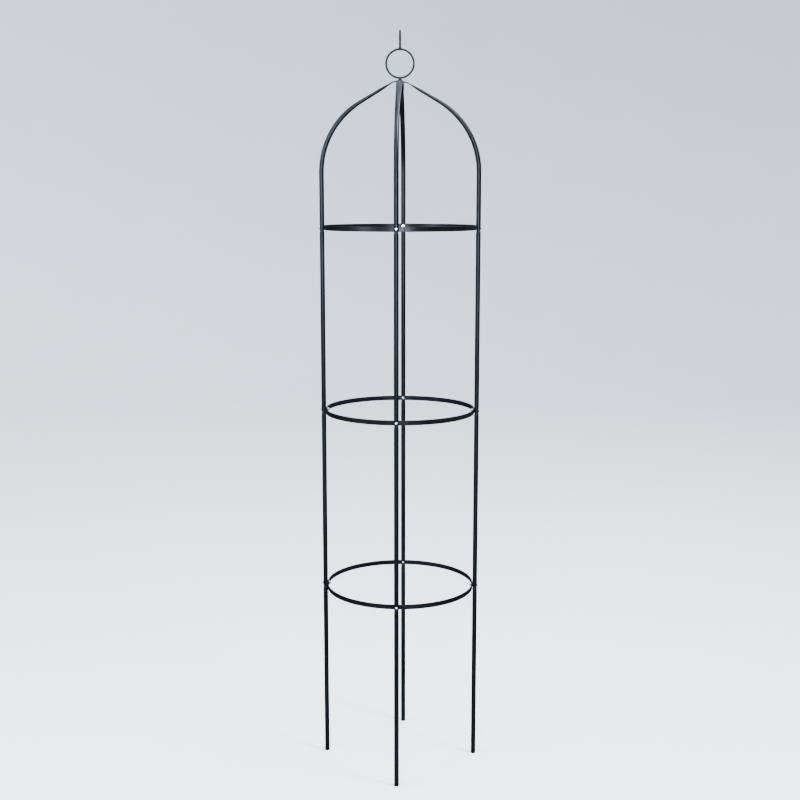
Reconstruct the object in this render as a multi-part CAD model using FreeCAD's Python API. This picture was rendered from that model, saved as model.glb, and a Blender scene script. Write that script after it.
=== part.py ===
"""Garden obelisk: a 1.9 m plant support of coated steel tube, with a domed top and a ring finial.

Four legs stand on a circle. Each leg is three straight tubes plugged end to end and one arched tube on
top. A straight tube has a swaged neck at its upper end, which slides up into the tube above. At every such
socket a screw passes radially through both tubes and through a flat-bar hoop inside the legs, and a nut holds
it. Each of the three hoops is two half hoops, lapped at the right and left legs. The arched tubes are pressed
flat at their inner ends. These four tabs lie on each other on the axis, and one bolt from below clamps them
to the nut that is welded under the finial.

Frame: millimetres, +Z up, the origin on the axis at the level of the leg ends, the front leg on -Y.
"""

import FreeCAD, Part
import math
import os

from FreeCAD import Vector

# ---- driving dimensions ------------------------------------------------------------------------------------
OVERALL_WIDTH = 410.0  # over the outsides of two opposite legs
OVERALL_HEIGHT = 1900.0  # from the leg ends to the tip of the spike

TUBE_DIAMETER = 12.0
TUBE_WALL = 0.8
TUBE_PITCH = 470.0  # from the lower end of one tube to the lower end of the next
SOCKET_CLEARANCE = 0.1  # radial, between a swaged neck and the tube around it
SCREW_ABOVE_END = 6.0  # from the lower end of a tube up to its screw
NECK_SHOWING = 3.0  # neck left bare under the tube above
SHOULDER_LENGTH = 3.0  # cone between the full tube and its neck
NECK_ABOVE_SCREW = 20.0  # neck that reaches past the screw, inside the tube above
END_BREAK = 0.25  # small chamfer on each cut end

HOOP_HEIGHT = 12.0
HOOP_THICKNESS = 2.0
HOOP_LAP = 9.0  # from the screw at a lap to the end of either half
HOOP_EDGE = 0.4  # rounding of the bar's long edges
HOOP_CORNER = 2.5  # rounding of the bar's end corners
JOGGLE_GAP = 1.0  # between the plain end of one half and the joggle of the other
JOGGLE_LENGTH = 8.0
JOGGLE_EASE = 0.4  # share of the joggle's length that keeps the direction of the bar beside it

ARCH_STRAIGHT = 138.0  # upright part of an arched tube, from its screw to the bend
ARCH_BEND_RADIUS = 200.0  # to the centre line
KNEE_RADIUS = 16.0  # from the axis out to where the sloping part meets the level tab
KNEE_BEND = 5.0  # the knee is spread over this distance on each side
OVAL_START = 165.0  # along the tube from the knee: here it is still round
PRESS_START = 45.0  # along the tube from the knee: oval down to here, then pressed flat
OVAL_SHARE = 0.45  # how much of the flattening the oval part has reached
CAVITY_END = 14.0  # along the tube from the knee: nearer than this the walls are shut
FLAT_ZONE = 0.35  # an outline crosses its flats where the cosine of its direction is smaller than this
OUTLINE_POINTS = 32
OUTLINES_PER_ARCH = 17
TABS_BOTTOM_TO_TOP = ("back", "right", "left", "front")

SCREW_DIAMETER = 4.0  # M4 x 20 pan head, cross recess
SCREW_LENGTH = 20.0
SCREW_HOLE = 4.5
SCREW_HEAD_DIAMETER = 8.0
SCREW_HEAD_HEIGHT = 3.1
SCREW_HEAD_RIM = 0.9  # upright part of the head under its dome
RECESS_WIDTH = 1.1
RECESS_SPAN = 4.4
RECESS_DEPTH = 1.9
NUT_FLATS = 7.0
NUT_HEIGHT = 3.2
HEXAGON_BEVEL = 30.0  # degrees, slope of the turned corners on nuts and the bolt's head

BOLT_DIAMETER = 5.0  # M5 x 10, hexagon head
BOLT_LENGTH = 10.0
BOLT_HOLE = 5.5
BOLT_HEAD_FLATS = 8.0
BOLT_HEAD_HEIGHT = 3.5
WASHER_DIAMETER = 10.0
WASHER_HOLE = 5.3
WASHER_HEIGHT = 1.0

FINIAL_WIRE = 5.0  # diameter of the wire in the ring and the spike
FINIAL_RING_DIAMETER = 74.0  # outside
FINIAL_SPIKE_LENGTH = 43.0  # above the ring
FINIAL_NUT_FLATS = 8.0
FINIAL_NUT_HEIGHT = 4.7
WELD_SINK = 0.4  # how deep the ring lies in the nut and the spike's foot in the ring

# ---- sizes that follow -------------------------------------------------------------------------------------
TUBE_R = TUBE_DIAMETER / 2
BORE_R = TUBE_R - TUBE_WALL
NECK_R = BORE_R - SOCKET_CLEARANCE
NECK_BORE_R = NECK_R - TUBE_WALL
LEG_RADIUS = OVERALL_WIDTH / 2 - TUBE_R
LEG_OUTSIDE = LEG_RADIUS + TUBE_R
NECK_TOP = TUBE_PITCH + SCREW_ABOVE_END + NECK_ABOVE_SCREW
HOOP_OUTER_R = LEG_RADIUS - TUBE_R
TAB_THICKNESS = 2 * TUBE_WALL
WALL_RING_R = TUBE_R - TUBE_WALL / 2  # radius of the middle of the wall
WALL_RING_LENGTH = 2 * math.pi * WALL_RING_R  # this length stays the same while the tube is flattened
RING_R = (FINIAL_RING_DIAMETER - FINIAL_WIRE) / 2
STACK_TOP = OVERALL_HEIGHT - FINIAL_SPIKE_LENGTH - FINIAL_RING_DIAMETER - FINIAL_NUT_HEIGHT + WELD_SINK
STACK_BOTTOM = STACK_TOP - len(TABS_BOTTOM_TO_TOP) * TAB_THICKNESS
RING_CENTRE_Z = OVERALL_HEIGHT - FINIAL_SPIKE_LENGTH - FINIAL_RING_DIAMETER / 2
ARCH_FOOT = 3 * TUBE_PITCH
BEND_CENTRE = Vector(LEG_RADIUS - ARCH_BEND_RADIUS, 0, ARCH_FOOT + SCREW_ABOVE_END + ARCH_STRAIGHT)
LEVELS = ("lower", "middle", "upper")
HOOP_LEVELS = {name: (i + 1) * TUBE_PITCH + SCREW_ABOVE_END for i, name in enumerate(LEVELS)}
SIDES = {"front": -90.0, "right": 0.0, "back": 90.0, "left": 180.0}  # direction of each leg, degrees from +X
LAPPED_SIDES = ("right", "left")
X, Y, Z = Vector(1, 0, 0), Vector(0, 1, 0), Vector(0, 0, 1)
ORIGIN = Vector(0, 0, 0)
FUZZ = 0.001  # tolerance for joining pieces of one tube end to end
NEAR = 0.01  # tolerance for finding edges by their length or place
CUT_MARGIN = 5.0  # how far a cutting shape runs past what it cuts


# ---- helpers -----------------------------------------------------------------------------------------------
def turned(shape, degrees):
    """A copy of shape, turned about the obelisk's axis."""
    copy = shape.copy()
    copy.rotate(ORIGIN, Z, degrees)
    return copy


def moved(shape, x=0.0, z=0.0):
    """A copy of shape, moved outwards along +X and up."""
    copy = shape.copy()
    copy.translate(Vector(x, 0, z))
    return copy


def save(shape, node):
    """Writes one node and reports its solids and volume."""
    if not shape.isValid():
        raise RuntimeError(node + " is not a valid shape")
    shape.exportStep("parts/" + node + ".step")
    print("%-24s %2d solid(s) %10.1f mm3" % (node, len(shape.Solids), shape.Volume))


def lathe(points):
    """A solid turned about Z from (radius, height) points."""
    corners = [Vector(r, 0, z) for r, z in points]
    outline = Part.makePolygon(corners + corners[:1])
    return Part.Face(outline).revolve(ORIGIN, Z, 360)


def hexagon(across_flats, height):
    """A hexagonal prism standing on Z = 0, with its corners turned off at both ends."""
    flat, corner = across_flats / 2, across_flats / math.sqrt(3)
    directions = [math.radians(60 * i) for i in range(7)]
    points = [Vector(corner * math.cos(d), corner * math.sin(d), 0) for d in directions]
    prism = Part.Face(Part.makePolygon(points)).extrude(Vector(0, 0, height))
    bevel = (corner - flat) * math.tan(math.radians(HEXAGON_BEVEL))
    barrel = lathe([
        (0, 0), (flat, 0), (corner, bevel), (corner, height - bevel), (flat, height), (0, height),
    ])
    return prism.common(barrel)


def radial_cylinder(diameter, inner, outer, height=0.0):
    """A cylinder along +X between two distances from the axis."""
    return Part.makeCylinder(diameter / 2, outer - inner, Vector(inner, 0, height), X)


def screw_hole(height):
    """The hole for a hoop screw on the leg along +X, through both walls of its tubes."""
    return radial_cylinder(SCREW_HOLE, HOOP_OUTER_R - CUT_MARGIN, LEG_OUTSIDE + CUT_MARGIN, height)


def smooth_step(share):
    """0 to 1 with level ends, for a share that is held between 0 and 1."""
    share = max(0.0, min(1.0, share))
    return share * share * (3 - 2 * share)


# ---- straight tubes ----------------------------------------------------------------------------------------
def straight_tube(hole_heights):
    """One straight tube standing on Z = 0 on the leg along +X, with its swaged neck up."""
    shoulder_top = TUBE_PITCH - NECK_SHOWING
    shoulder_foot = shoulder_top - SHOULDER_LENGTH
    tube = lathe([
        (BORE_R, 0), (TUBE_R - END_BREAK, 0), (TUBE_R, END_BREAK), (TUBE_R, shoulder_foot),
        (NECK_R, shoulder_top), (NECK_R, NECK_TOP - END_BREAK), (NECK_R - END_BREAK, NECK_TOP),
        (NECK_BORE_R, NECK_TOP), (NECK_BORE_R, shoulder_top), (BORE_R, shoulder_foot),
    ])
    tube = moved(tube, x=LEG_RADIUS)
    for height in hole_heights:
        tube = tube.cut(screw_hole(height))
    return tube


def make_straight_tubes():
    neck_hole = TUBE_PITCH + SCREW_ABOVE_END
    plain_foot = straight_tube([neck_hole])
    for level, name in enumerate(LEVELS):
        tube = plain_foot if name == "lower" else straight_tube([SCREW_ABOVE_END, neck_hole])
        for side, direction in SIDES.items():
            save(turned(moved(tube, z=level * TUBE_PITCH), direction), name + "_tube_" + side)


# ---- arched tubes ------------------------------------------------------------------------------------------
class Arch:
    """The centre line of one arched tube on the leg along +X, for a tab whose middle is at tab_height."""

    def __init__(self, tab_height):
        self.knee = Vector(KNEE_RADIUS, 0, tab_height)
        self.angle = self.find_angle()
        self.bend_end = self.on_bend(self.angle)
        self.slope_length = self.knee.distanceToPoint(self.bend_end)

    def on_bend(self, turn):
        """The point on the bend that has turned this far from the upright, in radians."""
        return BEND_CENTRE + Vector(math.cos(turn), 0, math.sin(turn)) * ARCH_BEND_RADIUS

    def find_angle(self):
        """How far the tube bends for its sloping part to run into the knee: the tangent from the knee."""
        to_centre = BEND_CENTRE - self.knee
        return math.atan2(-to_centre.z, -to_centre.x) - math.acos(ARCH_BEND_RADIUS / to_centre.Length)

    def at(self, distance):
        """The point at this distance from the knee along the tube, and its slope going inwards."""
        if distance <= self.slope_length:
            outwards = (self.bend_end - self.knee).normalize()
            return self.knee + outwards * distance, math.pi / 2 - self.angle
        turn = self.angle - (distance - self.slope_length) / ARCH_BEND_RADIUS
        return self.on_bend(turn), math.pi / 2 - turn


def flattening(distance):
    """How flat an arched tube is at this distance from its knee: 0 is round, 1 is flat."""
    oval = smooth_step((OVAL_START - distance) / (OVAL_START - PRESS_START))
    press = smooth_step((PRESS_START - distance) / (PRESS_START - KNEE_BEND))
    return OVAL_SHARE * oval + (1 - OVAL_SHARE) * press


def section(centre, slope, share, skin):
    """The closed outline of a tube that is flattened by share, square to a line with this slope. Skin is how
    far the outline lies outside the middle of the wall."""
    edge_r = WALL_RING_R + (TUBE_WALL / 2 - WALL_RING_R) * share
    half_flat = (WALL_RING_LENGTH - 2 * math.pi * edge_r) / 4
    across = Vector(math.sin(slope), 0, math.cos(slope))
    points = []
    for i in range(OUTLINE_POINTS):
        direction = 2 * math.pi * i / OUTLINE_POINTS
        shift = 2 * smooth_step((1 + math.cos(direction) / FLAT_ZONE) / 2) - 1
        sideways = half_flat * shift + (edge_r + skin) * math.cos(direction)
        points.append(centre + Y * sideways + across * ((edge_r + skin) * math.sin(direction)))
    outline = Part.BSplineCurve()
    outline.interpolate(Points=points, PeriodicFlag=True, Parameters=list(range(OUTLINE_POINTS + 1)))
    return Part.Wire(outline.toShape())


def flattened_length(arch, skin, nearest):
    """The solid inside the outlines from OVAL_START to the nearest distance from the knee."""
    last = OUTLINES_PER_ARCH - 1
    distances = [OVAL_START + (nearest - OVAL_START) * i / last for i in range(OUTLINES_PER_ARCH)]
    outlines = [section(*arch.at(d), flattening(d), skin) for d in distances]
    if nearest == KNEE_BEND:
        outlines.append(section(arch.knee - X * KNEE_BEND, 0.0, 1.0, skin))
    return Part.makeLoft(outlines, True, False)


def round_length(arch, radius, foot_height):
    """A round bar up the leg and along the bend to OVAL_START."""
    foot = Vector(LEG_RADIUS, 0, foot_height)
    end, slope = arch.at(OVAL_START)
    turn = math.pi / 2 - slope
    line = Part.Wire([
        Part.LineSegment(foot, arch.on_bend(0)).toShape(),
        Part.Arc(arch.on_bend(0), arch.on_bend(turn / 2), end).toShape(),
    ])
    outline = Part.Wire(Part.Circle(foot, Z, radius).toShape())
    return line.makePipeShell([outline], True, True)


def tab(height):
    """The level end of an arched tube: a strip from the knee to the axis and a round end about the axis."""
    outline = section(Vector(0, 0, height), 0.0, 1.0, TUBE_WALL / 2)
    face = Part.Face(outline)
    strip = face.extrude(X * (KNEE_RADIUS - KNEE_BEND))
    reach = 50.0
    half = face.common(Part.makeBox(reach, reach, reach, Vector(-reach / 2, 0, height - reach / 2)))
    return strip.fuse(half.Faces[0].revolve(ORIGIN, Z, 180))


def arch_tube(tab_height):
    """The arched tube on the leg along +X."""
    arch = Arch(tab_height)
    outer, inner = TUBE_WALL / 2, -TUBE_WALL / 2
    bar = round_length(arch, TUBE_R, ARCH_FOOT)
    bar = bar.fuse([flattened_length(arch, outer, KNEE_BEND), tab(tab_height)], FUZZ)
    hollow = round_length(arch, BORE_R, ARCH_FOOT - CUT_MARGIN)
    hollow = hollow.fuse([flattened_length(arch, inner, CAVITY_END)], FUZZ)
    tube = bar.cut(hollow).cut(screw_hole(HOOP_LEVELS["upper"]))
    bolt_hole = Part.makeCylinder(BOLT_HOLE / 2, 2 * TAB_THICKNESS, Vector(0, 0, tab_height - TAB_THICKNESS))
    return tube.cut(bolt_hole)


def make_arch_tubes():
    for order, side in enumerate(TABS_BOTTOM_TO_TOP):
        tab_height = STACK_BOTTOM + (order + 0.5) * TAB_THICKNESS
        save(turned(arch_tube(tab_height), SIDES[side]), "arch_tube_" + side)


# ---- hoops -------------------------------------------------------------------------------------------------
def polar(radius, angle):
    """A point in plan, angle in radians from +X."""
    return Vector(radius * math.cos(angle), radius * math.sin(angle), 0)


def hoop_edge(outer_r):
    """The plan line of one face of a half hoop, from its plain end on the right leg, behind the axis, to its
    joggled end on the left leg: a large arc, an S-shaped joggle and a short arc one thickness further in."""
    lap = HOOP_LAP / HOOP_OUTER_R
    joggle_end = math.pi - lap - JOGGLE_GAP / HOOP_OUTER_R
    joggle_start = joggle_end - JOGGLE_LENGTH / HOOP_OUTER_R
    inner_r = outer_r - HOOP_THICKNESS
    start, end = -lap, math.pi + lap
    handle = JOGGLE_LENGTH * JOGGLE_EASE
    first, last = polar(outer_r, joggle_start), polar(inner_r, joggle_end)
    joggle = Part.BezierCurve()
    joggle.setPoles([
        first, first + polar(handle, joggle_start + math.pi / 2),
        last - polar(handle, joggle_end + math.pi / 2), last,
    ])
    return [
        Part.Arc(polar(outer_r, start), polar(outer_r, (start + joggle_start) / 2), first).toShape(),
        joggle.toShape(),
        Part.Arc(last, polar(inner_r, (joggle_end + end) / 2), polar(inner_r, end)).toShape(),
    ]


def is_level(edge):
    """Whether both ends of an edge lie in the top or the bottom face of a bar centred on Z = 0."""
    return all(abs(abs(v.Point.z) - HOOP_HEIGHT / 2) < NEAR for v in edge.Vertexes)


def half_hoop():
    """The half hoop behind the axis, its middle height at Z = 0."""
    outer = hoop_edge(HOOP_OUTER_R)
    inner = hoop_edge(HOOP_OUTER_R - HOOP_THICKNESS)
    plain_end = Part.LineSegment(outer[0].Vertexes[0].Point, inner[0].Vertexes[0].Point).toShape()
    joggled_end = Part.LineSegment(outer[2].Vertexes[-1].Point, inner[2].Vertexes[-1].Point).toShape()
    outline = Part.Wire(Part.sortEdges(outer + inner + [plain_end, joggled_end])[0])
    bar = moved(Part.Face(outline).extrude(Vector(0, 0, HOOP_HEIGHT)), z=-HOOP_HEIGHT / 2)
    end_corners = [edge for edge in bar.Edges if abs(edge.Length - HOOP_THICKNESS) < NEAR]
    bar = bar.makeFillet(HOOP_CORNER, end_corners)
    long_edges = [edge for edge in bar.Edges if edge.Length > 2 * HOOP_THICKNESS and is_level(edge)]
    bar = bar.makeFillet(HOOP_EDGE, long_edges)
    joggled_inner_r = HOOP_OUTER_R - 2 * HOOP_THICKNESS
    hole = radial_cylinder(SCREW_HOLE, joggled_inner_r - CUT_MARGIN, HOOP_OUTER_R + CUT_MARGIN)
    for direction in (0, 90, 180):
        bar = bar.cut(turned(hole, direction))
    return bar


def make_hoops():
    half = half_hoop()
    for name, height in HOOP_LEVELS.items():
        save(moved(half, z=height), name + "_hoop_back")
        save(moved(turned(half, 180), z=height), name + "_hoop_front")


# ---- hoop screws and nuts ----------------------------------------------------------------------------------
def pan_head_screw():
    """A pan head screw along Z: its head above Z = 0 and its shank below."""
    head_r = SCREW_HEAD_DIAMETER / 2
    dome = SCREW_HEAD_HEIGHT - SCREW_HEAD_RIM
    dome_r = (head_r ** 2 + dome ** 2) / (2 * dome)
    crown = Part.makeSphere(dome_r, Vector(0, 0, SCREW_HEAD_HEIGHT - dome_r))
    head = Part.makeCylinder(head_r, SCREW_HEAD_HEIGHT).common(crown)
    for direction in (0, 90):
        slot = Part.makeBox(RECESS_SPAN, RECESS_WIDTH, RECESS_DEPTH,
                            Vector(-RECESS_SPAN / 2, -RECESS_WIDTH / 2, SCREW_HEAD_HEIGHT - RECESS_DEPTH))
        head = head.cut(turned(slot, direction))
    shank_r = SCREW_DIAMETER / 2
    shank = lathe([
        (0, 0), (shank_r, 0), (shank_r, 2 * END_BREAK - SCREW_LENGTH),
        (shank_r - 2 * END_BREAK, -SCREW_LENGTH), (0, -SCREW_LENGTH),
    ])
    return head.fuse(shank).removeSplitter()


def hexagon_nut():
    """A hoop nut standing on Z = 0."""
    return hexagon(NUT_FLATS, NUT_HEIGHT).cut(Part.makeCylinder(SCREW_DIAMETER / 2, NUT_HEIGHT))


def on_leg(shape, distance, height, side):
    """A copy of a shape whose Z axis is turned to point outwards on one leg, moved to its place."""
    copy = shape.copy()
    copy.rotate(ORIGIN, Y, 90)
    return turned(moved(copy, x=distance, z=height), SIDES[side])


def make_hoop_fixings():
    screw, nut = pan_head_screw(), hexagon_nut()
    for name, height in HOOP_LEVELS.items():
        nuts = []
        for side in SIDES:
            bars = 2 if side in LAPPED_SIDES else 1
            hoop_inner_r = HOOP_OUTER_R - bars * HOOP_THICKNESS
            nut_face = math.sqrt(hoop_inner_r ** 2 - (NUT_FLATS / 2) ** 2)  # its rim meets the hollow curve
            nuts.append(on_leg(nut, nut_face - NUT_HEIGHT, height, side))
        screws = [on_leg(screw, LEG_OUTSIDE, height, side) for side in SIDES]
        save(Part.makeCompound(screws), name + "_hoop_screws")
        save(Part.makeCompound(nuts), name + "_hoop_nuts")


# ---- apex and finial ---------------------------------------------------------------------------------------
def make_apex_fixings():
    bore = Part.makeCylinder(WASHER_HOLE / 2, WASHER_HEIGHT)
    washer = Part.makeCylinder(WASHER_DIAMETER / 2, WASHER_HEIGHT).cut(bore)
    washer_bottom = STACK_BOTTOM - WASHER_HEIGHT
    save(moved(washer, z=washer_bottom), "apex_washer")
    shank_r = BOLT_DIAMETER / 2
    shank = lathe([
        (0, 0), (shank_r, 0), (shank_r, BOLT_LENGTH - 2 * END_BREAK), (shank_r - 2 * END_BREAK, BOLT_LENGTH),
        (0, BOLT_LENGTH),
    ])
    bolt = moved(hexagon(BOLT_HEAD_FLATS, BOLT_HEAD_HEIGHT), z=-BOLT_HEAD_HEIGHT).fuse(shank).removeSplitter()
    save(moved(bolt, z=washer_bottom), "apex_bolt")


def make_finial():
    ring = Part.makeTorus(RING_R, FINIAL_WIRE / 2, Vector(0, 0, RING_CENTRE_Z), Y)
    save(ring, "finial_ring")
    nut = hexagon(FINIAL_NUT_FLATS, FINIAL_NUT_HEIGHT)
    nut = nut.cut(Part.makeCylinder(BOLT_DIAMETER / 2, FINIAL_NUT_HEIGHT))
    save(moved(nut, z=STACK_TOP).cut(ring), "finial_nut")
    wire_r = FINIAL_WIRE / 2
    foot = RING_CENTRE_Z + FINIAL_RING_DIAMETER / 2 - WELD_SINK
    spike = lathe([
        (0, foot), (wire_r, foot), (wire_r, OVERALL_HEIGHT - END_BREAK),
        (wire_r - END_BREAK, OVERALL_HEIGHT), (0, OVERALL_HEIGHT),
    ])
    save(spike.cut(ring), "finial_spike")


os.makedirs("parts", exist_ok=True)
make_straight_tubes()
make_arch_tubes()
make_hoops()
make_hoop_fixings()
make_apex_fixings()
make_finial()
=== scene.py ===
import math
import random

import bmesh
import bpy
from mathutils import Matrix, Vector, noise


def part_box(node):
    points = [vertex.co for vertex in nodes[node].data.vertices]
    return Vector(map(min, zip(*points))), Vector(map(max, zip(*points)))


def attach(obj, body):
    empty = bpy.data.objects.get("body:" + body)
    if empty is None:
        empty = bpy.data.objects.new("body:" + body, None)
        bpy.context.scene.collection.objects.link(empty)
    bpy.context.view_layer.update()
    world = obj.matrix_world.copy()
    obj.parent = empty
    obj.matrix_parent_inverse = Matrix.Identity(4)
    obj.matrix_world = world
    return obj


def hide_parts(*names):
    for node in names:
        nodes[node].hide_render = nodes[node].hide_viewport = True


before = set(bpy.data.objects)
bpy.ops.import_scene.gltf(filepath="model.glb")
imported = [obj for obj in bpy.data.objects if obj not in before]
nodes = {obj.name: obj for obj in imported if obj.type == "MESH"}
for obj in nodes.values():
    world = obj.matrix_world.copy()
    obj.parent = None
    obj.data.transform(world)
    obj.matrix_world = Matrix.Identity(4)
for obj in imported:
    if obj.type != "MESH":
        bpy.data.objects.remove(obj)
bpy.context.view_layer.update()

MM = 0.001
LEVELS = ("lower", "middle", "upper")
SIDES = {"front": -90.0, "right": 0.0, "back": 90.0, "left": 180.0}  # degrees from +X to each leg


# ---- places taken from the frame -----------------------------------------------------------------
def middle(node):
    """The centre of a node's box."""
    low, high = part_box(node)
    return (low + high) / 2


HOOP_Z = {level: middle(level + "_hoop_back").z for level in LEVELS}
PITCH = HOOP_Z["middle"] - HOOP_Z["lower"]  # from hoop to hoop, and the length of a tube
SCREW_ABOVE_END = HOOP_Z["lower"] - PITCH  # from the lower end of a tube up to its screw
LEG_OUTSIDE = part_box("lower_tube_right")[1].x
LEG_RADIUS = middle("lower_tube_right").x
SCREWS_LOW, SCREWS_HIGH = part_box("upper_hoop_screws")
SCREW_HEAD_R = (SCREWS_HIGH.z - SCREWS_LOW.z) / 2
SCREW_HEAD_HEIGHT = SCREWS_HIGH.x - LEG_OUTSIDE
NUT_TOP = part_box("finial_nut")[1].z
RING_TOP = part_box("finial_ring")[1].z
WIRE_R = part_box("finial_ring")[1].y
DOME_Z = (HOOP_Z["upper"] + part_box("apex_bolt")[1].z) / 2

# ---- sizes of the detailed pieces, in metres -----------------------------------------------------
CREASE = 30.0  # degrees; edges sharper than this stay sharp
SCREW_LENGTH = 20 * MM
SCREW_R = 2 * MM
SCREW_SEGMENTS = 32
THREAD_ROOT_R = 1.62 * MM
THREAD_PITCH = 0.7 * MM
THREAD_CREST = 0.15  # share of a pitch that is flat at full radius
THREAD_FLANKS = 0.65  # share of a pitch taken by its two slopes
THREAD_START = -13.5 * MM  # along the screw, whose head stands on 0
THREAD_ROWS_PER_PITCH = 6
TIP_BREAK = 0.15 * MM  # how far inside the thread's root the tip's edge lies
HEAD_DOME_STEPS = 9
HEAD_RIM = 0.9 * MM  # height at which the head's upright side turns in
HEAD_ROUNDING = 0.35 * MM  # how far inside the rim the dome's arc ends
RIM_BREAK = 0.1 * MM  # the turn's two points lie this far above and below HEAD_RIM
RIM_BREAK_IN = 0.08 * MM  # and the upper one lies this far inside the rim
FOOT_BREAK = 0.15 * MM  # bevel round the head's underside
RECESS_HALF_SPAN = 2.35 * MM
RECESS_HALF_WIDTH = 0.68 * MM
RECESS_DEPTH = 1.9 * MM
RECESS_MOUTH, RECESS_FLOOR = 1.12, 0.55  # the cross's span above the head and at its floor, as shares
RECESS_PARALLEL, RECESS_TAPERED = 0.45, 0.55  # shares of an arm's width that stay and that follow the span
CUT_ABOVE = 0.4 * MM  # how far the cutter stands above the head
SAME_POINT = 0.005 * MM  # points of the cut recess that are closer than this are merged
NECK_BARE = 3 * MM  # neck left bare under a tube's lower end
SHOULDER = 3 * MM  # cone under the bare neck
SCREW_SEED = 7  # for the turn of each screw's recess

WELD_ROWS, WELD_SEGMENTS = 24, 48
WELD_CREASE = 60.0  # degrees
WELD_LUMPS = 0.07  # share of a bead's size by which its lumps rise and fall
WELD_LUMP_DENSITY = 1.7
WELD_RIPPLES = 4  # across a bead
WELD_RIPPLE_HEIGHT = 0.035  # share of a bead's size
WELD_RIPPLE_BOW = 1.5  # radians by which a ripple lags at a bead's sides
NUT_WELD_HALF = (1.6, 1.4, 0.9)  # half sizes of the two beads, in radii of the wire
SPIKE_WELD_HALF = (1.55, 1.3, 1.0)
NUT_WELD_RISE = 0.5 * MM  # from the nut's top up to its bead's centre
SPIKE_WELD_RISE = 0.2 * MM  # from the ring's top up to its bead's centre

# ---- colours -------------------------------------------------------------------------------------
COAT_DARK = (0.0038, 0.0039, 0.0048, 1)
COAT_LIGHT = (0.0085, 0.0087, 0.0105, 1)
# grey of the film on upward faces: dust, and on the hoops' top edges also a painted highlight
DUST_AND_SHEEN_GREY = (0.115, 0.113, 0.108, 1)
BARE_STEEL = (0.22, 0.23, 0.24, 1)
ZINC_BLUISH = (0.70, 0.74, 0.80, 1)
ZINC_YELLOWISH = (0.84, 0.83, 0.79, 1)
ZINC_DULL = (0.45, 0.46, 0.48, 1)
FLOOR_GREY = (0.80, 0.80, 0.80, 1)
FLOOR_WHITE = (0.84, 0.84, 0.835, 1)

# ---- the studio ----------------------------------------------------------------------------------
DISH_FLAT = 6.0  # radius of the flat floor
DISH_REACH = 6.0  # how much further out the wall's top is
DISH_RISE = 9.0  # height of the wall
SKY_TOP = (0.38, 0.10, 0.92)  # the direction of the sky's brightest point
SKY_DARK_BELOW = 28.0  # degrees above the great circle that lies square to SKY_TOP
SKY_BRIGHT_ABOVE = 68.0
SKY_LOW = (0.024, 0.029, 0.038, 1)
SKY_HIGH = (0.80, 0.88, 1.0, 1)
SKY_STRENGTH = 2.9
CAMERA_DISTANCE = 3.12  # from the obelisk's axis
CAMERA_ABOVE_HOOP = 0.072  # above the upper hoop
CAMERA_SIDE_TURN = 2.6  # degrees round the axis, from the front leg to the right
CAMERA_PITCH = 9.4  # degrees below level
CAMERA_LENS = 54.7  # millimetres
CAMERA_REACH = 100.0  # metres that it sees


# ---- mesh helpers --------------------------------------------------------------------------------
def new_piece(name, mesh, material):
    """Puts a finished mesh into the scene as a piece that rides on the one body."""
    piece = bpy.data.objects.new(name, mesh)
    bpy.context.scene.collection.objects.link(piece)
    mesh.materials.clear()
    mesh.materials.append(material)
    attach(piece, "root")
    return piece


def closed_grid(rows, top, bottom):
    """A closed bmesh from rings of points and the two poles above and below them."""
    body = bmesh.new()
    rings = [[body.verts.new(point) for point in row] for row in rows]
    count = len(rings[0])
    for upper, lower in zip(rings, rings[1:]):
        for i in range(count):
            j = (i + 1) % count
            body.faces.new((upper[i], lower[i], lower[j], upper[j]))
    first = body.verts.new(top)
    last = body.verts.new(bottom)
    for i in range(count):
        j = (i + 1) % count
        body.faces.new((first, rings[0][i], rings[0][j]))
        body.faces.new((last, rings[-1][j], rings[-1][i]))
    return body


def to_mesh(body, name, crease=CREASE):
    """Turns a bmesh into a smooth mesh whose edges above the crease angle stay sharp."""
    mesh = bpy.data.meshes.new(name)
    bmesh.ops.recalc_face_normals(body, faces=body.faces)
    body.to_mesh(mesh)
    body.free()
    mesh.shade_smooth()
    mesh.set_sharp_from_angle(angle=math.radians(crease))
    return mesh


def baked(name, mesh, add_modifiers):
    """The mesh after the modifiers that add_modifiers puts on an object made from it."""
    holder = bpy.data.objects.new(name, mesh)
    bpy.context.scene.collection.objects.link(holder)
    add_modifiers(holder)
    graph = bpy.context.evaluated_depsgraph_get()
    result = bpy.data.meshes.new_from_object(holder.evaluated_get(graph))
    bpy.data.objects.remove(holder)
    result.shade_smooth()
    result.set_sharp_from_angle(angle=math.radians(CREASE))
    return result


# ---- hoop screws ---------------------------------------------------------------------------------
def head_profile():
    """(radius, height) points of the pan head, from near its top to its underside."""
    dome = SCREW_HEAD_HEIGHT - HEAD_RIM
    dome_r = (SCREW_HEAD_R ** 2 + dome ** 2) / (2 * dome)
    centre = SCREW_HEAD_HEIGHT - dome_r
    widest = math.asin((SCREW_HEAD_R - HEAD_ROUNDING) / dome_r)
    points = []
    for i in range(1, HEAD_DOME_STEPS + 1):
        turn = widest * i / HEAD_DOME_STEPS
        points.append((dome_r * math.sin(turn), centre + dome_r * math.cos(turn)))
    points.append((SCREW_HEAD_R - RIM_BREAK_IN, HEAD_RIM + RIM_BREAK))
    points.append((SCREW_HEAD_R, HEAD_RIM - RIM_BREAK))
    points.append((SCREW_HEAD_R, FOOT_BREAK))
    points.append((SCREW_HEAD_R - FOOT_BREAK, 0.0))
    points.append((SCREW_R, 0.0))
    return points


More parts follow.
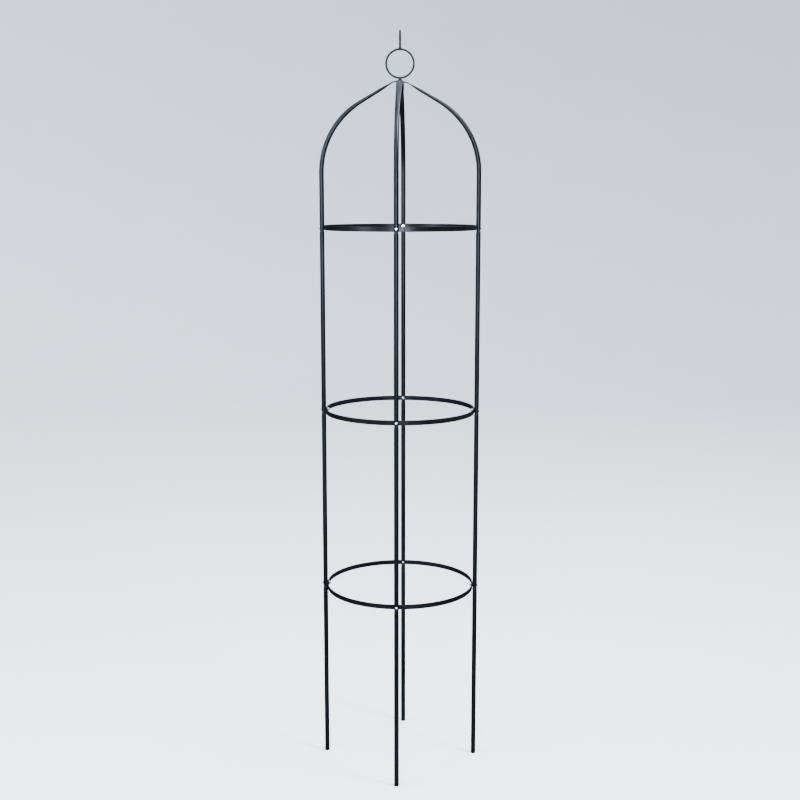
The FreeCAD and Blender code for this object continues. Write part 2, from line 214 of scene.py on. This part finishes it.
def thread_radius(height, turn):
    """Radius of the threaded shank at a height along it and a share of a full turn round it."""
    phase = (height / THREAD_PITCH + turn) % 1.0
    flank = min(1.0, max(0.0, (abs(2 * phase - 1) - THREAD_CREST) / THREAD_FLANKS))
    fade_in = min(1.0, (THREAD_START - height) / THREAD_PITCH)
    radius = SCREW_R - (SCREW_R - THREAD_ROOT_R) * flank * fade_in
    return min(radius, THREAD_ROOT_R - TIP_BREAK + (height + SCREW_LENGTH))


def ring_point(radius, turn, height):
    """A point at a radius, a share of a full turn and a height."""
    return Vector((radius * math.cos(math.tau * turn), radius * math.sin(math.tau * turn), height))


def screw_rows():
    """The screw's rings of points, from near the top of its head to near its tip."""
    plain = head_profile() + [(SCREW_R, THREAD_START)]
    turns = [i / SCREW_SEGMENTS for i in range(SCREW_SEGMENTS)]
    rows = [[ring_point(radius, turn, height) for turn in turns] for radius, height in plain]
    step = THREAD_PITCH / THREAD_ROWS_PER_PITCH
    count = int((SCREW_LENGTH + THREAD_START) / step)
    for i in range(1, count + 1):
        height = THREAD_START - step * i
        rows.append([ring_point(thread_radius(height, turn), turn, height) for turn in turns])
    return rows


def cross_cutter():
    """The tapered cross that the recess is cut with, from above the head down to the recess's floor."""
    body = bmesh.new()
    top = (SCREW_HEAD_HEIGHT + CUT_ABOVE, RECESS_MOUTH)
    floor = (SCREW_HEAD_HEIGHT - RECESS_DEPTH, RECESS_FLOOR)
    rings = []
    for height, share in (top, floor):
        arm = RECESS_HALF_SPAN * share
        half = RECESS_HALF_WIDTH * (RECESS_PARALLEL + RECESS_TAPERED * share)
        corner = [Vector((arm, -half, height)), Vector((arm, half, height)), Vector((half, half, height))]
        ring = []
        for quarter in range(4):
            turn = Matrix.Rotation(math.radians(90 * quarter), 3, "Z")
            ring += [body.verts.new(turn @ point) for point in corner]
        rings.append(ring)
    body.faces.new(rings[0])
    body.faces.new(rings[1][::-1])
    count = len(rings[0])
    for i in range(count):
        j = (i + 1) % count
        body.faces.new((rings[0][j], rings[0][i], rings[1][i], rings[1][j]))
    return to_mesh(body, "recess_cutter")


def screw_mesh():
    """One pan head screw along Z, its head above 0: domed head, tapered cross recess and threaded end."""
    tip = Vector((0, 0, -SCREW_LENGTH))
    body = closed_grid(screw_rows(), Vector((0, 0, SCREW_HEAD_HEIGHT)), tip)
    cutter = bpy.data.objects.new("recess_cutter", cross_cutter())
    bpy.context.scene.collection.objects.link(cutter)

    def cut_recess(holder):
        cut = holder.modifiers.new("recess", "BOOLEAN")
        cut.operation = "DIFFERENCE"
        cut.object = cutter
        cut.solver = "EXACT"

    mesh = baked("screw", to_mesh(body, "screw"), cut_recess)
    bpy.data.objects.remove(cutter)
    return mesh


def hoop_screws(material):
    """Replaces each level's four plain screws with detailed ones, their recesses turned at random."""
    draw = random.Random(SCREW_SEED)
    single = screw_mesh()
    for level in LEVELS:
        joined = bmesh.new()
        for direction in SIDES.values():
            part = single.copy()
            spin = Matrix.Rotation(draw.uniform(0, math.tau), 4, "Z")
            outwards = Matrix.Rotation(math.radians(90), 4, "Y")
            place = Matrix.Translation((LEG_OUTSIDE, 0, HOOP_Z[level]))
            round_axis = Matrix.Rotation(math.radians(direction), 4, "Z")
            part.transform(round_axis @ place @ outwards @ spin)
            joined.from_mesh(part)
            bpy.data.meshes.remove(part)
        bmesh.ops.remove_doubles(joined, verts=joined.verts, dist=SAME_POINT)
        mesh = to_mesh(joined, level + "_hoop_pan_screws")
        piece = new_piece(level + "_hoop_pan_screws", mesh, material)
        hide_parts(level + "_hoop_screws")
    bpy.data.meshes.remove(single)


# ---- welds at the finial -------------------------------------------------------------------------
def weld_bead(name, centre, half_sizes, material):
    """A lump of weld metal with rippled sides, coated over. The ripples run across its length, which is X."""
    own_lumps = centre * 1000  # each bead takes its lumps from another part of the noise
    rows = []
    for i in range(1, WELD_ROWS):
        tilt = math.pi * i / WELD_ROWS
        row = []
        for j in range(WELD_SEGMENTS):
            turn = math.tau * j / WELD_SEGMENTS
            across = math.sin(tilt)
            point = Vector((across * math.cos(turn), across * math.sin(turn), math.cos(tilt)))
            lump = noise.noise(point * WELD_LUMP_DENSITY + own_lumps)
            ripple = math.sin(point.x * math.pi * WELD_RIPPLES + WELD_RIPPLE_BOW * abs(point.y))
            scale = 1 + WELD_LUMPS * lump + WELD_RIPPLE_HEIGHT * ripple * (1 - point.x ** 2)
            row.append(centre + Vector(a * b for a, b in zip(point * scale, half_sizes)))
        rows.append(row)
    up = Vector((0, 0, half_sizes[2]))
    mesh = to_mesh(closed_grid(rows, centre + up, centre - up), name, WELD_CREASE)
    new_piece(name, mesh, material)


def finial_welds(material):
    """The beads between the finial's nut and ring, and between its ring and spike."""
    nut_bead = Vector((0, 0, NUT_TOP + NUT_WELD_RISE))
    weld_bead("finial_nut_weld", nut_bead, [share * WIRE_R for share in NUT_WELD_HALF], material)
    spike_bead = Vector((0, 0, RING_TOP + SPIKE_WELD_RISE))
    weld_bead("finial_spike_weld", spike_bead, [share * WIRE_R for share in SPIKE_WELD_HALF], material)


# ---- node helpers --------------------------------------------------------------------------------
class Nodes:
    """A material's node tree, with short calls for the nodes that these materials use."""

    def __init__(self, name):
        self.material = bpy.data.materials.new(name)
        self.material.use_nodes = True
        self.tree = self.material.node_tree
        self.tree.nodes.clear()
        self.shader = self.add("ShaderNodeBsdfPrincipled")
        output = self.add("ShaderNodeOutputMaterial")
        self.link(self.shader.outputs["BSDF"], output.inputs["Surface"])

    def add(self, kind, **settings):
        node = self.tree.nodes.new(kind)
        for key, value in settings.items():
            setattr(node, key, value)
        return node

    def link(self, source, target):
        self.tree.links.new(source, target)

    def put(self, target, value):
        """Sets a socket to a plain value or links it to another socket."""
        if isinstance(value, bpy.types.NodeSocket):
            self.link(value, target)
        else:
            target.default_value = value

    def shade(self, name, value):
        self.put(self.shader.inputs[name], value)

    def math(self, operation, a, b=0.0):
        node = self.add("ShaderNodeMath", operation=operation)
        self.put(node.inputs[0], a)
        self.put(node.inputs[1], b)
        return node.outputs[0]

    def position(self):
        return self.add("ShaderNodeTexCoord").outputs["Object"]

    def axes(self):
        """The three parts of the position."""
        node = self.add("ShaderNodeSeparateXYZ")
        self.link(self.position(), node.inputs[0])
        return node.outputs

    def stretched(self, x, y, z):
        """The position with each axis scaled, to draw noise out into streaks."""
        node = self.add("ShaderNodeMapping")
        self.link(self.position(), node.inputs["Vector"])
        node.inputs["Scale"].default_value = (x, y, z)
        return node.outputs[0]

    def noise(self, size, detail=2.0, roughness=0.5, vector=None):
        """Noise whose lumps are about this many metres across."""
        node = self.add("ShaderNodeTexNoise")
        self.put(node.inputs["Vector"], vector or self.position())
        node.inputs["Scale"].default_value = 1.0 / size
        node.inputs["Detail"].default_value = detail
        node.inputs["Roughness"].default_value = roughness
        return node.outputs["Fac"]

    def remap(self, value, from_low, from_high, to_low=0.0, to_high=1.0):
        node = self.add("ShaderNodeMapRange")
        for socket, number in zip(node.inputs, (value, from_low, from_high, to_low, to_high)):
            self.put(socket, number)
        return node.outputs[0]

    def band(self, value, low, high, soft):
        """1 between low and high, falling to 0 over a soft margin on both sides."""
        rise = self.remap(value, low - soft, low)
        fall = self.remap(value, high, high + soft, 1.0, 0.0)
        return self.math("MULTIPLY", rise, fall)

    def mix_colour(self, share, a, b):
        node = self.add("ShaderNodeMix", data_type="RGBA")
        self.put(node.inputs[0], share)
        self.put(node.inputs[6], a)
        self.put(node.inputs[7], b)
        return node.outputs[2]

    def mix_value(self, share, a, b):
        node = self.add("ShaderNodeMix", data_type="FLOAT")
        self.put(node.inputs[0], share)
        self.put(node.inputs[2], a)
        self.put(node.inputs[3], b)
        return node.outputs[0]

    def bump(self, height, distance, normal=None):
        node = self.add("ShaderNodeBump")
        node.inputs["Strength"].default_value = 1.0
        node.inputs["Distance"].default_value = distance
        self.put(node.inputs["Height"], height)
        if normal is not None:
            self.link(normal, node.inputs["Normal"])
        return node.outputs["Normal"]


# ---- materials -----------------------------------------------------------------------------------
class Joint:
    """Where a point of a tube lies at its nearest joint. All joints are folded onto one."""

    def __init__(self, n):
        x, y, z = n.axes()
        x = n.math("ABSOLUTE", x)
        y = n.math("ABSOLUTE", y)
        self.outwards = n.math("MAXIMUM", x, y)
        self.sideways = n.math("MINIMUM", x, y)
        shifted = n.math("ADD", z, PITCH / 2 - SCREW_ABOVE_END)
        folded = n.math("FLOORED_MODULO", shifted, PITCH)
        self.height = n.math("SUBTRACT", folded, PITCH / 2)  # above the screw
        self.present = n.band(z, HOOP_Z["lower"] - PITCH / 2, HOOP_Z["upper"] + PITCH / 2, 1 * MM)


def joint_wear(n, joint):
    """How bare the steel is, up to 0.8: in spots round the screws and along the mouths of the tubes."""
    square = n.math("ADD", n.math("POWER", joint.sideways, 2.0), n.math("POWER", joint.height, 2.0))
    ragged = n.remap(n.noise(2 * MM), 0.3, 0.7, -0.4 * MM, 0.4 * MM)
    from_screw = n.math("ADD", n.math("SQRT", square), ragged)
    scuff = n.band(from_screw, SCREW_HEAD_R - 0.5 * MM, SCREW_HEAD_R + 0.2 * MM, 0.3 * MM)
    scuff = n.math("MULTIPLY", scuff, n.remap(joint.outwards, LEG_RADIUS, LEG_RADIUS + 1 * MM))
    mouth = n.band(joint.height, -SCREW_ABOVE_END - 0.05 * MM, -SCREW_ABOVE_END + 0.12 * MM, 0.1 * MM)
    spots = n.remap(n.noise(1.2 * MM, 4.0, 0.6), 0.5, 0.62)
    worn = n.math("MULTIPLY", n.math("MAXIMUM", scuff, mouth), spots)
    return n.math("MULTIPLY", worn, n.math("MULTIPLY", joint.present, 0.8))


def swage_dents(n, joint):
    """The height of the crumpled skin where a tube's end is hammered down to a neck."""
    foot = -SCREW_ABOVE_END - NECK_BARE - SHOULDER
    swaged = n.band(joint.height, foot - 1 * MM, -SCREW_ABOVE_END, 0.8 * MM)
    dents = n.noise(2.4 * MM, 1.0, vector=n.stretched(1, 1, 1.6))
    return n.math("MULTIPLY", dents, n.math("MULTIPLY", swaged, joint.present))


def powder_coat(name, streaks, dust_and_sheen_amount, with_joints):
    """Black satin powder coat on steel: fine orange peel, slow shade changes along the piece, specks in
    patches and a light film on what faces up. That film is dust, and where it is laid on thick along the
    hoops' top edges it is also a painted highlight. On the tubes it is worn at the joints, and the swaged
    necks are crumpled."""
    n = Nodes(name)
    slow = n.remap(n.noise(50 * MM, 3.0, vector=n.stretched(*streaks)), 0.35, 0.65)
    colour = n.mix_colour(slow, COAT_DARK, COAT_LIGHT)
    gloss = n.remap(n.noise(6 * MM, 3.0), 0.3, 0.7, 0.27, 0.40)

    upwards = n.add("ShaderNodeSeparateXYZ")
    n.link(n.add("ShaderNodeNewGeometry").outputs["Normal"], upwards.inputs[0])
    uneven = n.remap(n.noise(2.5 * MM, 4.0), 0.4, 0.7)
    # upward faces get a light film: dust, and where it is thick, as on the hoops' top edges, a painted
    # highlight
    dust_and_painted_sheen = n.math("MULTIPLY", n.remap(upwards.outputs[2], 0.45, 1.0), uneven)
    dust_and_painted_sheen = n.math("MULTIPLY", dust_and_painted_sheen, dust_and_sheen_amount)
    patches = n.remap(n.noise(14 * MM, 2.0), 0.5, 0.62, 0.0, 0.6)
    specks = n.math("MULTIPLY", n.remap(n.noise(1.0 * MM, 1.0), 0.75, 0.82), patches)
    dust_and_painted_sheen = n.math("MAXIMUM", dust_and_painted_sheen, specks)
    colour = n.mix_colour(dust_and_painted_sheen, colour, DUST_AND_SHEEN_GREY)
    gloss = n.mix_value(dust_and_painted_sheen, gloss, 0.75)

    normal = n.bump(n.noise(1.4 * MM, 2.0), 0.04 * MM)  # orange peel
    if with_joints:
        joint = Joint(n)
        worn = joint_wear(n, joint)
        colour = n.mix_colour(worn, colour, BARE_STEEL)
        gloss = n.mix_value(worn, gloss, 0.38)
        n.shade("Metallic", n.math("MULTIPLY", worn, 0.9))
        normal = n.bump(swage_dents(n, joint), 0.7 * MM, normal)
    n.shade("Base Color", colour)
    n.shade("Roughness", gloss)
    n.shade("Normal", n.bump(n.noise(0.35 * MM, 2.0), 0.01 * MM, normal))
    n.shader.inputs["IOR"].default_value = 1.42
    n.shader.inputs["Specular IOR Level"].default_value = 0.42
    return n.material


def zinc_plate(name):
    """Bright zinc plate: bluish and yellowish clouds, uneven gloss, duller specks and fine handling marks."""
    n = Nodes(name)
    clouds = n.remap(n.noise(3.2 * MM, 3.0), 0.35, 0.65)
    colour = n.mix_colour(clouds, ZINC_BLUISH, ZINC_YELLOWISH)
    dull = n.remap(n.noise(0.8 * MM, 4.0), 0.58, 0.75)
    colour = n.mix_colour(n.math("MULTIPLY", dull, 0.4), colour, ZINC_DULL)
    n.shade("Base Color", colour)
    n.shade("Roughness", n.remap(n.noise(1.1 * MM, 3.0), 0.3, 0.7, 0.20, 0.34))
    n.shader.inputs["Metallic"].default_value = 1.0
    grain = n.bump(n.noise(0.5 * MM, 3.0, vector=n.stretched(1, 1, 4)), 0.012 * MM)
    n.shade("Normal", grain)
    return n.material


def paint(node, material):
    """Gives a CAD node one material all over."""
    slots = nodes[node].data.materials
    for i in range(len(slots)):
        slots[i] = material


def finish_pieces():
    """Paints the CAD nodes and makes the detailed pieces."""
    tube_coat = powder_coat("tube_coat_black", streaks=(1, 1, 0.15), dust_and_sheen_amount=0.10, with_joints=True)
    # the thick film on the hoops' top edges is a painted highlight as well as dust
    hoop_coat = powder_coat("hoop_coat_black", streaks=(0.4, 0.4, 1.5), dust_and_sheen_amount=0.7, with_joints=False)
    finial_coat = powder_coat("finial_coat_black", streaks=(1, 1, 1), dust_and_sheen_amount=0.2, with_joints=False)
    zinc = zinc_plate("bright_zinc")
    for node in nodes:
        if node.endswith(("_screws", "_nuts")) or node.startswith("apex_"):
            paint(node, zinc)
        elif node.startswith("finial_"):
            paint(node, finial_coat)
        elif "_hoop_" in node:
            paint(node, hoop_coat)
        else:
            paint(node, tube_coat)
    hoop_screws(zinc)
    finial_welds(finial_coat)


# ---- studio --------------------------------------------------------------------------------------
def studio_dish():
    """A pale floor that turns up smoothly into a round wall, with no edge between them."""
    row_count, segments = 28, 96
    profile = [(DISH_FLAT * share, 0.0) for share in (0.02, 0.25, 0.5, 0.75, 1.0)]
    for i in range(1, row_count + 1):
        turn = math.pi / 2 * i / row_count
        profile.append((DISH_FLAT + DISH_REACH * math.sin(turn), DISH_RISE * (1 - math.cos(turn))))
    body = bmesh.new()
    rings = []
    for radius, height in profile:
        angles = [math.tau * j / segments for j in range(segments)]
        rings.append([body.verts.new((radius * math.cos(a), radius * math.sin(a), height)) for a in angles])
    centre = body.verts.new((0, 0, 0))
    for j in range(segments):
        k = (j + 1) % segments
        body.faces.new((centre, rings[0][j], rings[0][k]))
        for inner, outer in zip(rings, rings[1:]):
            body.faces.new((inner[j], outer[j], outer[k], inner[k]))
    mesh = bpy.data.meshes.new("studio_dish")
    body.to_mesh(mesh)
    body.free()
    mesh.shade_smooth()
    dish = bpy.data.objects.new("studio_dish", mesh)
    bpy.context.scene.collection.objects.link(dish)
    n = Nodes("pale_floor")
    n.shade("Base Color", n.mix_colour(n.noise(0.7, 4.0), FLOOR_GREY, FLOOR_WHITE))
    n.shader.inputs["Roughness"].default_value = 0.9
    mesh.materials.append(n.material)
    dish.visible_glossy = False  # the black coat mirrors the world instead, as it does in a garden


def area_light(name, place, size, power, colour, aim):
    """A softbox of a width and height in metres and a power in watts that points at aim."""
    light = bpy.data.lights.new(name, "AREA")
    light.shape = "RECTANGLE"
    light.size, light.size_y = size
    light.energy = power
    light.color = colour
    holder = bpy.data.objects.new(name, light)
    bpy.context.scene.collection.objects.link(holder)
    holder.location = place
    holder.rotation_euler = (Vector(aim) - Vector(place)).to_track_quat("-Z", "Y").to_euler()
    holder.visible_camera = False


def sky():
    """A sky that is brightest high up on the right and falls off smoothly until it is dark low down."""
    world = bpy.data.worlds.new("studio")
    bpy.context.scene.world = world
    world.use_nodes = True
    tree = world.node_tree
    direction = tree.nodes.new("ShaderNodeTexCoord")
    height = tree.nodes.new("ShaderNodeVectorMath")
    height.operation = "DOT_PRODUCT"
    height.inputs[1].default_value = Vector(SKY_TOP).normalized()
    rise = tree.nodes.new("ShaderNodeMapRange")
    rise.interpolation_type = "SMOOTHSTEP"
    rise.inputs["From Min"].default_value = math.sin(math.radians(SKY_DARK_BELOW))
    rise.inputs["From Max"].default_value = math.sin(math.radians(SKY_BRIGHT_ABOVE))
    mix = tree.nodes.new("ShaderNodeMix")
    mix.data_type = "RGBA"
    mix.inputs[6].default_value = SKY_LOW
    mix.inputs[7].default_value = SKY_HIGH
    background = tree.nodes["Background"]
    background.inputs["Strength"].default_value = SKY_STRENGTH
    tree.links.new(direction.outputs["Generated"], height.inputs[0])
    tree.links.new(height.outputs["Value"], rise.inputs["Value"])
    tree.links.new(rise.outputs[0], mix.inputs[0])
    tree.links.new(mix.outputs[2], background.inputs["Color"])


def lights():
    """Softboxes that draw streaks on the dome's tubes, and one low in front that fills the rest."""
    dome = (0, 0, DOME_Z)
    body = (0, 0, 1.3)
    cool = (0.80, 0.88, 1.0)
    warm = (1.0, 0.98, 0.95)
    area_light("softbox_left_low", (-2.3, -1.9, 2.1), (0.8, 1.2), 60, cool, dome)
    area_light("softbox_left_high", (-2.1, -0.6, 3.6), (0.9, 1.8), 70, cool, dome)
    area_light("softbox_right_high", (1.7, -0.9, 3.9), (0.7, 1.8), 170, cool, dome)
    area_light("softbox_back", (2.3, 1.7, 4.0), (1.0, 1.6), 60, warm, dome)
    area_light("softbox_front_high", (-0.4, -3.2, 3.3), (0.6, 0.6), 80, cool, dome)
    area_light("fill_front", (0.3, -4.6, 1.45), (1.8, 1.0), 150, cool, body)


def camera():
    """The camera stands just above the upper hoop, a little to the right of the front leg."""
    data = bpy.data.cameras.new("camera")
    data.lens = CAMERA_LENS
    data.clip_end = CAMERA_REACH
    holder = bpy.data.objects.new("camera", data)
    bpy.context.scene.collection.objects.link(holder)
    turn = math.radians(CAMERA_SIDE_TURN)
    height = HOOP_Z["upper"] + CAMERA_ABOVE_HOOP
    holder.location = (CAMERA_DISTANCE * math.sin(turn), -CAMERA_DISTANCE * math.cos(turn), height)
    holder.rotation_euler = (math.radians(90) - math.radians(CAMERA_PITCH), 0, turn)
    bpy.context.scene.camera = holder


bpy.context.scene.view_settings.look = "AgX - Medium High Contrast"
studio_dish()
sky()
lights()
camera()
finish_pieces()
